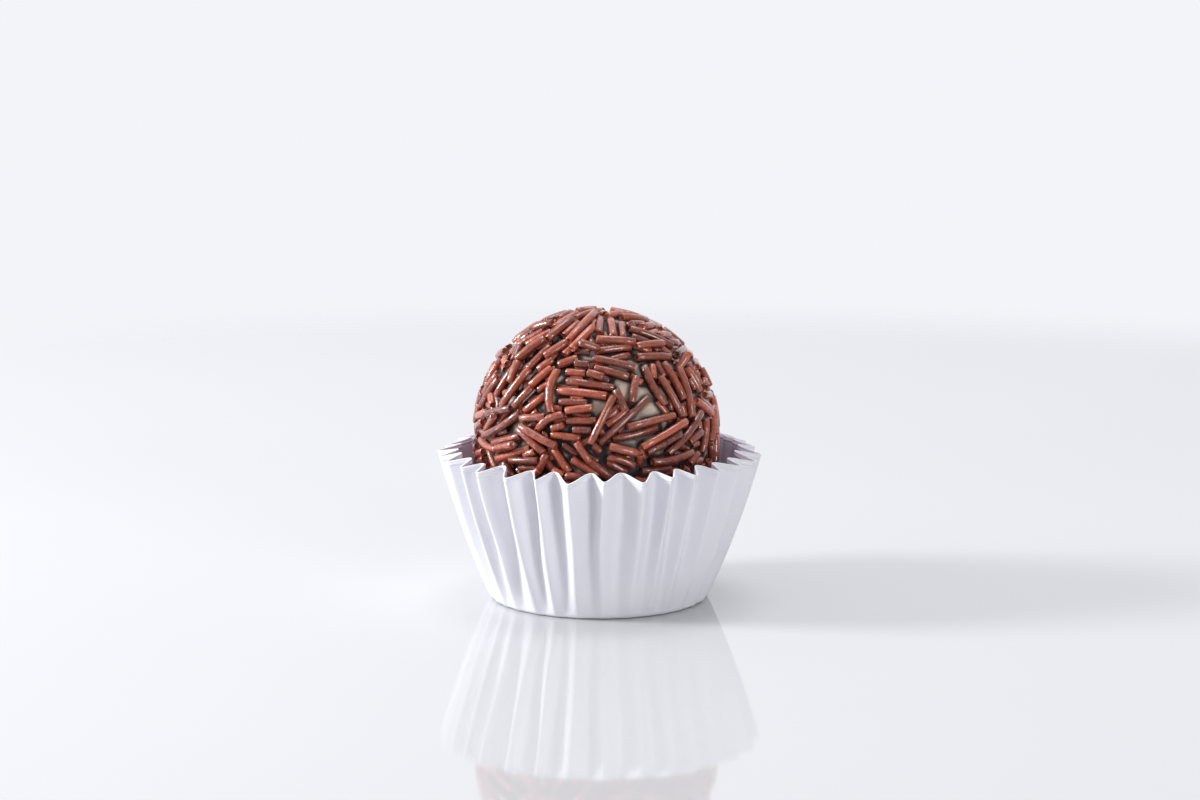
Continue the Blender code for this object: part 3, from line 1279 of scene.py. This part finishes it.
@dataclass
class PaperCase:
    """The pleated cup, folded from a flat round blank.

    Its wall has more paper round it than it needs, and the spare goes into pleats
    that start from nothing at the foot and are deepest at the rim. The folds lie
    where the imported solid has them.
    """

    foot_radius: float = 12.5 * MM
    foot_bend: float = 0.7 * MM
    wall_lean: float = math.radians(15.8)
    wall_height: float = 17.95 * MM
    belly: float = 0.3 * MM
    pleats: int = 30
    fullness: float = 0.92
    unevenness: float = 0.3
    rim_unevenness: float = 0.16 * MM
    seed: int = 284286
    first_fold: float = math.radians(1.6)
    paper: float = 0.13 * MM
    face_steps: tuple = (0.0, 0.07, 0.15, 0.24, 0.36, 0.55, 0.75, 0.90)  # of a face, from its outer fold
    ridge_bend: float = 0.22  # share of a face that an outer fold's bend takes up
    groove_bend: float = 0.36
    sway: float = math.radians(0.75)
    sway_turn: float = 5.5  # radians that its wave runs through, from the foot to the rim
    sway_end: float = 1.15  # share of the wall's height at which it would be straight again
    crinkle: float = 0.06 * MM
    crinkles_across: float = 420.0  # lumps of the noise per metre
    crinkles_up: float = 150.0
    crinkle_growth: float = 3.0  # they are at their full depth a third of the way up
    rim_growth: int = 4  # the power of the height that the rim's unevenness grows with
    row_growth: float = 1.25  # the power that sets the rows closer together low down
    bend_rows: int = 6
    wall_rows: int = 44

    def folds(self) -> list[Fold]:
        """Outer and inner folds in turn, unevenly spaced round the case."""
        chance = random.Random(self.seed)
        count = 2 * self.pleats
        widths = [1 + self.unevenness * chance.uniform(-1, 1) for _ in range(count)]
        whole = sum(widths)
        made = []
        angle = self.first_fold
        swaying = random.Random(self.seed + 1)
        for index, width in enumerate(widths):
            outer = index % 2 == 0
            reach = (widths[index - 1] + width) / 2
            made.append(
                Fold(
                    outer=outer,
                    angle=angle,
                    reach=reach if outer else -reach,
                    lift=self.rim_unevenness * chance.uniform(-1, 1),
                    sway=self.sway * swaying.gauss(0, 1),
                    phase=swaying.uniform(0, math.tau),
                )
            )
            angle += math.tau * width / whole
        return made

    def profile(self) -> list[tuple[float, float, float, float]]:
        """Rows of the wall's middle line, from the foot's edge up to the rim.

        Returns:
            Radius, height, lean and distance along the paper from the blank's
            centre, for each row.
        """
        turn = math.pi / 2 - self.wall_lean
        rows = []
        for step in range(self.bend_rows):
            angle = turn * step / self.bend_rows
            rows.append(
                (
                    self.foot_radius + self.foot_bend * math.sin(angle),
                    self.foot_bend * (1 - math.cos(angle)),
                    math.pi / 2 - angle,
                    self.foot_radius + self.foot_bend * angle,
                )
            )
        start = self.foot_radius + self.foot_bend * math.sin(turn)
        bottom = self.foot_bend * (1 - math.cos(turn))
        slant = (self.wall_height - bottom) / math.cos(self.wall_lean)
        for step in range(self.wall_rows + 1):
            share = (step / self.wall_rows) ** self.row_growth
            belly = self.belly * 4 * share * (1 - share)
            rows.append(
                (
                    start + slant * share * math.sin(self.wall_lean) + belly * math.cos(self.wall_lean),
                    bottom + slant * share * math.cos(self.wall_lean) - belly * math.sin(self.wall_lean),
                    self.wall_lean,
                    self.foot_radius + self.foot_bend * turn + slant * share,
                )
            )
        return rows

    def pleat_depth(self, radius: float, paper_radius: float) -> float:
        """How deep the pleats are where the blank is drawn in to a radius."""
        spare = max(paper_radius / radius, 1.0)
        return self.fullness * math.pi * radius / self.pleats * math.sqrt(spare**2 - 1)

    def ring(self, folds: list[Fold], row: tuple, rim: float) -> list[Vector]:
        """The points round the wall at one row.

        Args:
            folds: the folds in order.
            row: the row's radius, height, lean and distance along the paper.
            rim: that distance at the rim.

        Returns:
            The points, which start at the first fold.
        """
        radius, height, lean, paper_radius = row
        share = (paper_radius - self.foot_radius) / (rim - self.foot_radius)
        half_depth = self.pleat_depth(radius, paper_radius) / 2
        inward_steps = (0.0, *(1 - step for step in reversed(self.face_steps[1:])))
        points = []
        for index, fold in enumerate(folds):
            after = folds[(index + 1) % len(folds)]
            wrap = math.tau if index == len(folds) - 1 else 0.0
            start = fold.angle + self.swayed(fold, share)
            end = after.angle + wrap + self.swayed(after, share)
            for along in self.face_steps if fold.outer else inward_steps:
                shape = self.across(along) if fold.outer else 1 - self.across(1 - along)
                angle = start + (end - start) * along
                offset = fold.reach + (after.reach - fold.reach) * shape
                lift = (fold.lift + (after.lift - fold.lift) * along) * share**self.rim_growth
                out = half_depth * offset
                points.append(self.wall_point(angle, radius, height, lean, out, lift, share))
        return points

    def across(self, along: float) -> float:
        """How far the paper has gone from an outer fold to an inner one, both rounded."""
        ridge, groove = self.ridge_bend, self.groove_bend
        slope = 1 / (1 - ridge / 2 - groove / 2)
        if along < ridge:
            return slope * along**2 / (2 * ridge)
        if along <= 1 - groove:
            return slope * (along - ridge / 2)
        return 1 - slope * (1 - along) ** 2 / (2 * groove)

    def swayed(self, fold: Fold, share: float) -> float:
        """How far a fold wanders aside at a height."""
        wave = math.sin(fold.phase + self.sway_turn * share)
        return fold.sway * wave * share * (self.sway_end - share) * 2

    def wall_point(self, angle: float, radius: float, height: float, lean: float, out: float,
                   lift: float, share: float) -> Vector:
        """A point of the wall, with the paper's small crinkles.

        Args:
            angle: its angle round the case, from the front to the right.
            radius: the middle line's radius there.
            height: the middle line's height there.
            lean: the wall's lean from upright.
            out: how far the pleat stands out of the middle line.
            lift: how far the rim is stretched there.
            share: how far up the wall it is, from 0 to 1.

        Returns:
            The point.
        """
        across = radius * self.crinkles_across
        spot = Vector((across * math.sin(angle), -across * math.cos(angle), height * self.crinkles_up))
        out += self.crinkle * noise.noise(spot) * min(1.0, self.crinkle_growth * share)
        reach = radius + out * math.cos(lean) + lift * math.sin(lean)
        level = height - out * math.sin(lean) + lift * math.cos(lean)
        return Vector((reach * math.sin(angle), -reach * math.cos(angle), max(level, 0.0)))

    def sheet(self) -> bpy.types.Mesh:
        """The paper's outer side as one sheet, with its distance from the rim."""
        folds = self.folds()
        rows = self.profile()
        rim = rows[-1][3]
        shape = bmesh.new()
        below = shape.verts.layers.float.new("below_rim")
        rings = []
        for row in rows:
            ring = []
            for point in self.ring(folds, row, rim):
                vertex = shape.verts.new(point)
                vertex[below] = rim - row[3]
                ring.append(vertex)
            rings.append(ring)
        middle = shape.verts.new((0.0, 0.0, 0.0))
        middle[below] = rim
        around = len(rings[0])
        for this in range(around):
            following = (this + 1) % around
            shape.faces.new((middle, rings[0][following], rings[0][this]))
            for lower, upper in zip(rings, rings[1:]):
                shape.faces.new((lower[this], lower[following], upper[following], upper[this]))
        mesh = finished_mesh(shape, "paper_sheet")
        mesh.shade_smooth()
        return mesh

    def build(self) -> bpy.types.Object:
        """Makes the case: the sheet with its thickness, and its three finishes.

        Returns:
            The piece.
        """
        mesh = self.sheet()
        outside = PaperFinish("paper_outside", (0.78, 0.78, 0.83), (0.75, 0.75, 0.805))
        # The inside is the same paper coloured darker and mauve: painted shade, with a painted brown-purple
        # bounce from the chocolate.
        inside = PaperFinish("paper_inside_painted_shade", (0.70, 0.63, 0.77), (0.66, 0.59, 0.74))
        edge = PaperFinish("paper_cut_edge", (0.92, 0.92, 0.95), (0.90, 0.90, 0.94), roughness=0.6)
        for finish in (outside, inside, edge):
            mesh.materials.append(finish.build())
        holder = add_object("paper_sheet", mesh)
        paper = holder.modifiers.new("Paper", "SOLIDIFY")
        paper.thickness = self.paper
        paper.offset = -1.0
        paper.use_even_offset = True
        paper.material_offset = 1
        paper.material_offset_rim = 2
        return add_piece("pleated_case", baked_mesh(holder, "pleated_case"), Slot.PAPER, CASE_NODE)


# ---------------------------------------------------------------- the studio


@dataclass
class Studio:
    """A plain pale floor, a soft surround with three area lights, and the camera."""

    target: Vector = field(default_factory=lambda: Vector((0.14, 0.0, 23.9)) * MM)
    camera_distance: float = 399.7 * MM
    camera_pitch: float = math.radians(9.84)
    lens: float = 100.0  # millimetres, on a 36 mm sensor
    floor_radius: float = 0.26
    floor_gap: float = 0.02 * MM
    surround: tuple = (0.900, 0.906, 0.945)
    bright_side: Vector = field(default_factory=lambda: Vector((-0.5, 0.8, 0.3)))
    bright: float = 1.08
    dim: float = 0.29
    turning: tuple = (-0.9, 0.75)  # cosines to the bright side, from fully dim to fully bright
    key_place: Vector = field(default_factory=lambda: Vector((-0.50, -0.03, 0.23)))
    key_size: float = 0.13
    key_power: float = 3.5
    top_place: Vector = field(default_factory=lambda: Vector((0.02, 0.08, 0.57)))
    top_size: float = 0.22
    top_power: float = 1.0
    side_place: Vector = field(default_factory=lambda: Vector((0.32, -0.44, 0.10)))
    side_size: float = 0.14
    side_power: float = 1.0

    def build_floor(self) -> None:
        """Lays the floor just under the case's foot."""
        shape = bmesh.new()
        bmesh.ops.create_circle(shape, cap_ends=True, segments=128, radius=self.floor_radius)
        mesh = finished_mesh(shape, "floor")
        mesh.transform(Matrix.Translation((0, 0, -self.floor_gap)))
        mesh.materials.append(FloorFinish().build())
        add_object("floor", mesh)

    def build_light(self) -> None:
        """Sets the surround, the key light and two weaker lights.

        The surround is bright behind and to the left of the object and dimmer in
        front, and looks evenly pale itself. The key light stands to the left, the
        others above and at the front right.
        """
        world = bpy.data.worlds.new("soft_surround")
        world.use_nodes = True
        graph = Graph(world.node_tree)
        way = graph.add("ShaderNodeTexCoord").outputs["Generated"]
        pair = {0: way, 1: self.bright_side.normalized()}
        toward = graph.add("ShaderNodeVectorMath", pair, operation="DOT_PRODUCT").outputs["Value"]
        strength = graph.ramp(toward, self.turning, (self.dim, self.bright))
        seen = graph.add("ShaderNodeLightPath").outputs["Is Camera Ray"]
        mixed = {"Factor": seen, 2: strength, 3: 1.0}
        shown = graph.add("ShaderNodeMix", mixed, data_type="FLOAT").outputs[0]
        background = world.node_tree.nodes["Background"]
        background.inputs["Color"].default_value = (*self.surround, 1.0)
        graph.feed(background.inputs["Strength"], shown)
        bpy.context.scene.world = world
        self.add_area("key", self.key_place, self.key_size, self.key_power)
        self.add_area("top", self.top_place, self.top_size, self.top_power)
        self.add_area("side", self.side_place, self.side_size, self.side_power)

    def add_area(self, name: str, place: Vector, size: float, power: float) -> None:
        """Adds a square soft light that faces the object."""
        lamp = bpy.data.lights.new(name, "AREA")
        lamp.size = size
        lamp.energy = power
        holder = add_object(name, lamp)
        holder.location = place
        holder.rotation_euler = (self.target - place).to_track_quat("-Z", "Y").to_euler()

    def build_camera(self) -> None:
        """Sets the camera in front of the object, looking a little down."""
        lens = bpy.data.cameras.new("camera")
        lens.lens = self.lens
        lens.sensor_width = 36.0
        lens.clip_start = 0.01
        lens.clip_end = 10.0
        holder = add_object("camera", lens)
        back = Vector((0, -math.cos(self.camera_pitch), math.sin(self.camera_pitch)))
        holder.location = self.target + back * self.camera_distance
        holder.rotation_euler = (-back).to_track_quat("-Z", "Y").to_euler()
        bpy.context.scene.camera = holder

    def build(self) -> None:
        """Sets up everything that isn't part of the object."""
        self.build_floor()
        self.build_light()
        self.build_camera()
        bpy.context.scene.view_settings.view_transform = "Standard"


def main() -> None:
    """Builds the object's pieces in order, and the studio round them."""
    logging.basicConfig(level=logging.INFO, format="%(name)s: %(message)s")
    Studio().build()
    form = ball_form()
    _, case_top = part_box(CASE_NODE)
    coat = SprinkleCoat(form)
    coat.lay(float(case_top[2]))
    FudgeBall(form).build(coat)
    coat.build()
    PaperCase().build()


if __name__ == "__main__":
    main()
